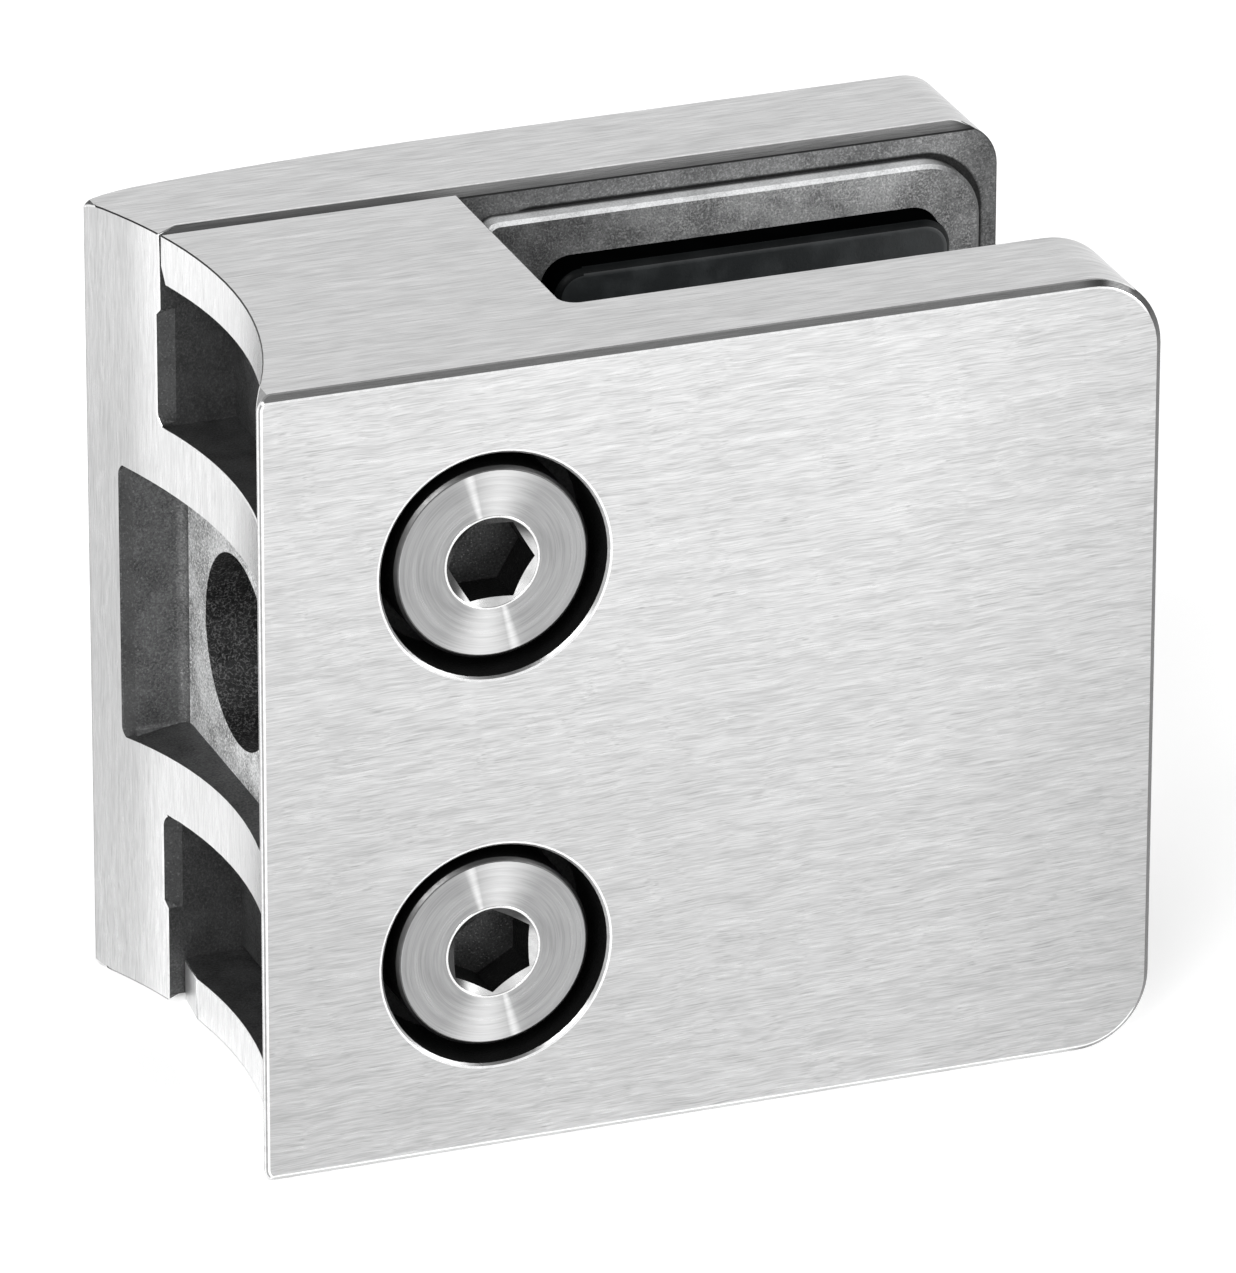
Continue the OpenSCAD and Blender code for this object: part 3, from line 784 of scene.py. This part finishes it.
class CLAMP_OT_screws(bpy.types.Operator):
    """Finish the two socket screws in turned steel"""

    bl_idname = "clamp.screws"
    bl_label = "Finish Screws"

    def execute(self, context):
        finish = context.scene.clamp_finish
        # Painted shade: the socket's walls and bottom and the head's side are near-black copies of the cast skin
        dark = toned(finish.cast, 0.10)
        wall = cast_skin("socket_wall_skin", toned(dark, 0.6), finish, roughness=0.4, contrast=0.5, sparks=0.10)
        bottom = cast_skin("socket_bottom_skin", toned(finish.cast, 0.16), finish, roughness=0.5, contrast=0.6)
        side = cast_skin("head_side_skin", dark, finish, roughness=0.4, contrast=0.4, sparks=0.0)
        shank = brushed("shank_steel", toned(finish.turned, 0.9), (0, 2), finish)
        rim = polished("head_bevel", (0.13, 0.13, 0.13), 0.35)
        burnished = polished("broken_head_edge", (0.85, 0.85, 0.85), 0.2)
        for node, (low, high) in SCREW_BOX.items():
            axis_x, axis_z = (low[0] + high[0]) / 2, (low[2] + high[2]) / 2
            obj = merged_copy(node, "finished_" + node)
            head = turned("turned_" + node, tuple(finish.turned), (axis_x, axis_z))
            # Painted light and shade on the countersink: dark towards the left and the top of the axis, bright
            # towards the right and the bottom
            cone = polished("countersink_" + node, (0.62, 0.62, 0.62), 0.25, steps=(
                (0, axis_x - 0.0026, axis_x - 0.0002, 0.10, 1.0), (2, axis_z + 0.0004, axis_z + 0.0022, 1.0, 0.10)))
            assign(obj, [head, shank, wall, bottom, side, rim, cone],
                   screw_regions(*faces(obj.data), (axis_x, axis_z), low[1]))
            round_edges(obj, finish.edge * HEAD_EDGE_SHARE, slots=(SCREW_SLOTS.index("rim"),), choose=head_edge)
            lip = socket_lip("lip_" + node, (axis_x, axis_z), low[1])
            assign(lip, [burnished], np.zeros(len(lip.data.polygons)))
            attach(lip, node)
            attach(obj, node)
            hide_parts(node)
        return {"FINISHED"}


class CLAMP_OT_pads(bpy.types.Operator):
    """Finish the two pads in moulded rubber"""

    bl_idname = "clamp.pads"
    bl_label = "Finish Pads"

    def execute(self, context):
        finish = context.scene.clamp_finish
        skin = rubber("moulded_rubber", tuple(finish.rubber))
        # Painted shade: the pads' bevels and sides are darker copies of the rubber, the sides nearly black
        bevel = rubber("shaded_rubber_bevel", toned(finish.rubber, 0.3), 0.08)
        side = rubber("shaded_rubber_side", toned(finish.rubber, 0.05), 0.0)
        for node, body in (("rear_pad", "rear"), ("front_pad", "cover")):
            obj = merged_copy(node, "finished_" + node)
            flat = np.abs(faces(obj.data)[1][:, 1])
            assign(obj, [skin, bevel, side], np.select([flat > 0.97, flat > 0.15], [0, 1], 2))
            round_edges(obj, finish.pad_edge, 3)
            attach(obj, body)
            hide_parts(node)
        return {"FINISHED"}


def area_lamp(name, place, target, power):
    data = bpy.data.lights.new(name, "AREA")
    data.shape = "DISK"
    data.size = LAMP_SIZE
    data.energy = power
    lamp = added(name, data)
    lamp.location = place
    lamp.rotation_euler = (Vector(target) - Vector(place)).to_track_quat("-Z", "Y").to_euler()


def studio_world(stage):
    """Pale walls that darken towards the ceiling, as the height of the looking direction rises."""
    world = bpy.data.worlds.new("studio")
    world.use_nodes = True
    n = Nodes(world.node_tree)
    way = n.add("ShaderNodeTexCoord").outputs["Generated"]
    height = n.add("ShaderNodeSeparateXYZ", None, Vector=way).outputs["Z"]
    level = n.range(height, CEILING_FROM, CEILING_TO, stage.horizon, stage.zenith)
    colour = n.add("ShaderNodeCombineColor", None, Red=level, Green=level, Blue=level).outputs[0]
    back = n.add("ShaderNodeBackground", None, Color=colour)
    n.add("ShaderNodeOutputWorld", None, Surface=back.outputs[0])
    return world


def floor_skin():
    """A pale floor that looks white to the camera and in reflections and still keeps the shadow."""
    mat, n = new_material("pale_floor")
    tone = n.range(n.noise(n.place(), 3.0, 2.0), 0.3, 0.7, 0.0, 1.0)
    paint = n.mix_colour(tone, (0.80, 0.80, 0.80, 1), (0.82, 0.82, 0.82, 1))
    path = n.add("ShaderNodeLightPath").outputs
    mirrored = n.math("MAXIMUM", path["Is Glossy Ray"], path["Is Transmission Ray"])
    seen = n.math("MAXIMUM", path["Is Camera Ray"], mirrored)
    glow = n.add("ShaderNodeEmission", None, Color=(1, 1, 1, 1), Strength=n.math("MULTIPLY", seen, FLOOR_GLOW))
    matt = n.add("ShaderNodeBsdfDiffuse", None, Color=paint)
    both = n.add("ShaderNodeAddShader", None, _0=matt.outputs[0], _1=glow.outputs[0])
    n.add("ShaderNodeOutputMaterial", None, Surface=both.outputs[0])
    return mat


class CLAMP_OT_stage(bpy.types.Operator):
    """Set the floor, the lamps, the studio walls and the camera"""

    bl_idname = "clamp.stage"
    bl_label = "Set Stage"

    def execute(self, context):
        scene, stage = context.scene, context.scene.clamp_stage
        scene.view_settings.view_transform = "Standard"
        half = stage.floor_size / 2
        mesh = bpy.data.meshes.new("floor")
        mesh.from_pydata([(-half, -half, 0), (half, -half, 0), (half, half, 0), (-half, half, 0)], [], [(0, 1, 2, 3)])
        mesh.materials.append(floor_skin())
        floor = added("floor", mesh)
        scene.world = studio_world(stage)
        aim = Vector((0, 0, CAD_BOX[1][2] / 2))
        area_lamp("key_lamp", KEY_PLACE, aim, stage.key)
        area_lamp("fill_lamp", FILL_PLACE, aim, stage.fill)

        a, e = stage.azimuth, stage.elevation
        back = Vector((-math.sin(a) * math.cos(e), -math.cos(a) * math.cos(e), math.sin(e)))
        right = Vector((math.cos(a), -math.sin(a), 0))
        up = back.cross(right)
        right, up = (math.cos(stage.roll) * right + math.sin(stage.roll) * up,
                     math.cos(stage.roll) * up - math.sin(stage.roll) * right)
        place = aim + stage.aim[0] * right + stage.aim[1] * up + stage.distance * back
        data = bpy.data.cameras.new("camera")
        data.sensor_width = 36
        data.lens = stage.lens
        data.clip_start, data.clip_end = 0.01, 50
        camera = added("camera", data)
        camera.matrix_world = Matrix((
            (right.x, up.x, back.x, place.x), (right.y, up.y, back.y, place.y),
            (right.z, up.z, back.z, place.z), (0, 0, 0, 1),
        ))
        scene.camera = camera
        return {"FINISHED"}


class CLAMP_PT_panel(bpy.types.Panel):
    """Lists the steps that dress the clamp"""

    bl_label = "Clamp"
    bl_idname = "CLAMP_PT_panel"
    bl_space_type = "VIEW_3D"
    bl_region_type = "UI"
    bl_category = "Clamp"

    def draw(self, context):
        column = self.layout.column()
        for operator in OPERATORS:
            column.operator(operator.bl_idname)
        for group in (context.scene.clamp_finish, context.scene.clamp_stage):
            for key in group.__annotations__:
                column.prop(group, key)


GROUPS = (ClampFinish, ClampStage)
OPERATORS = (CLAMP_OT_castings, CLAMP_OT_screws, CLAMP_OT_pads, CLAMP_OT_stage)


def register():
    for cls in GROUPS + OPERATORS + (CLAMP_PT_panel,):
        bpy.utils.register_class(cls)
    bpy.types.Scene.clamp_finish = bpy.props.PointerProperty(type=ClampFinish)
    bpy.types.Scene.clamp_stage = bpy.props.PointerProperty(type=ClampStage)


def unregister():
    del bpy.types.Scene.clamp_stage
    del bpy.types.Scene.clamp_finish
    for cls in reversed(GROUPS + OPERATORS + (CLAMP_PT_panel,)):
        bpy.utils.unregister_class(cls)


def main():
    register()
    bpy.ops.clamp.castings()
    bpy.ops.clamp.screws()
    bpy.ops.clamp.pads()
    bpy.ops.clamp.stage()


if __name__ == "__main__":
    main()
